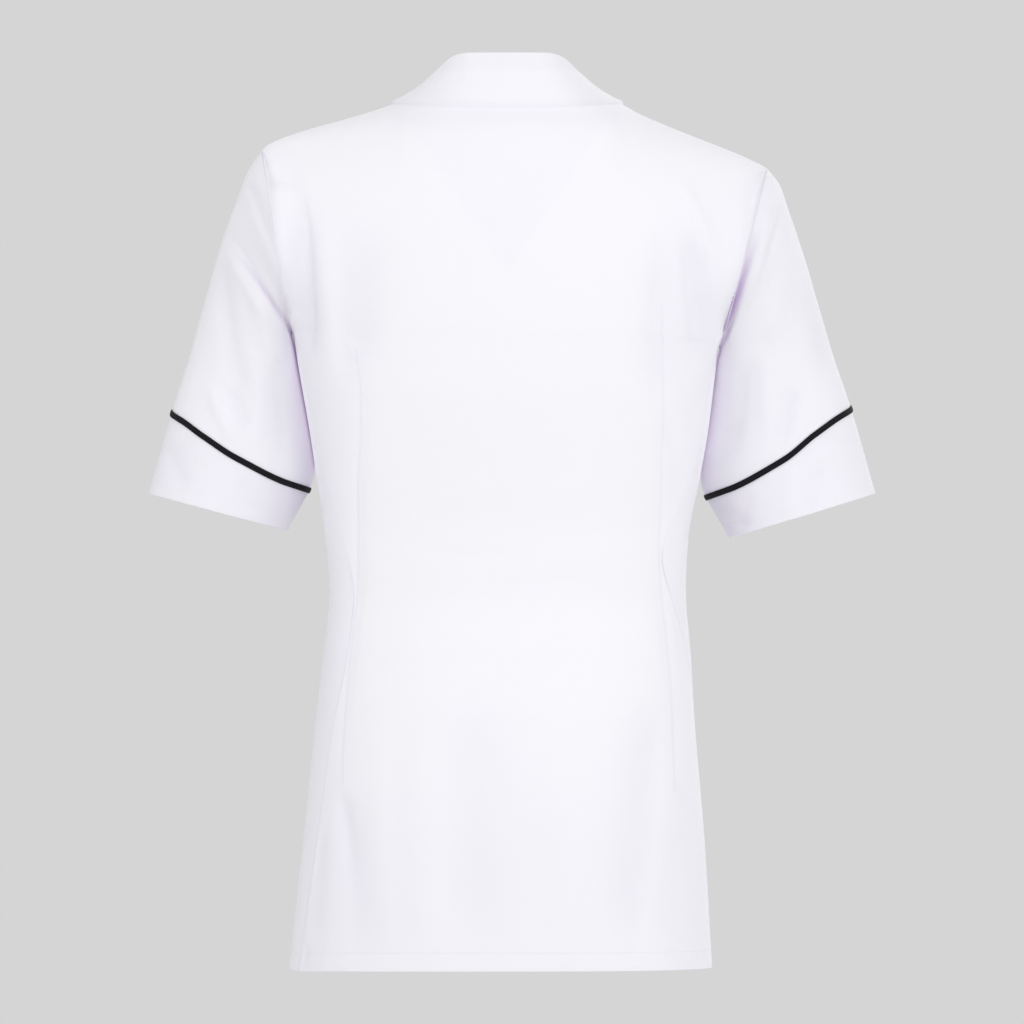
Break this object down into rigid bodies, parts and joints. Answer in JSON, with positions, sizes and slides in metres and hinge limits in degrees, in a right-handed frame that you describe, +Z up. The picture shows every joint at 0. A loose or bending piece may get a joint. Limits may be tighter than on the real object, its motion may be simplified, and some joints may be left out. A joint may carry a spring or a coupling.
{
  "type": "work blouse",
  "caption": "White short-sleeved women's work blouse, filled out as worn: fitted back with long darts, stand collar, V front and deep cuffs with flat black piping.",
  "frame": {"origin": "centre of the neck, level with the two points where the shoulder seams meet the collar", "axes": "+Z up, +Y towards the garment's back, -Y towards its front, +X towards the wearer's left"},
  "size_m": [0.5838, 0.2336, 0.7283],
  "materials": {
    "white_cloth": "matt white polyester and cotton uniform cloth, plain weave",
    "black_piping": "flat folded black piping strip",
    "button_plastic": "smooth white plastic with four holes"
  },
  "bodies": {
    "root": {"back": "white_cloth", "front_left": "white_cloth", "front_right": "white_cloth", "collar": "white_cloth", "sleeve_left": "white_cloth", "sleeve_right": "white_cloth", "cuff_left": "white_cloth", "cuff_right": "white_cloth", "piping_left": "black_piping", "piping_right": "black_piping", "button_1": "button_plastic", "button_2": "button_plastic", "button_3": "button_plastic", "button_4": "button_plastic", "button_5": "button_plastic"}
  },
  "joints": []
}
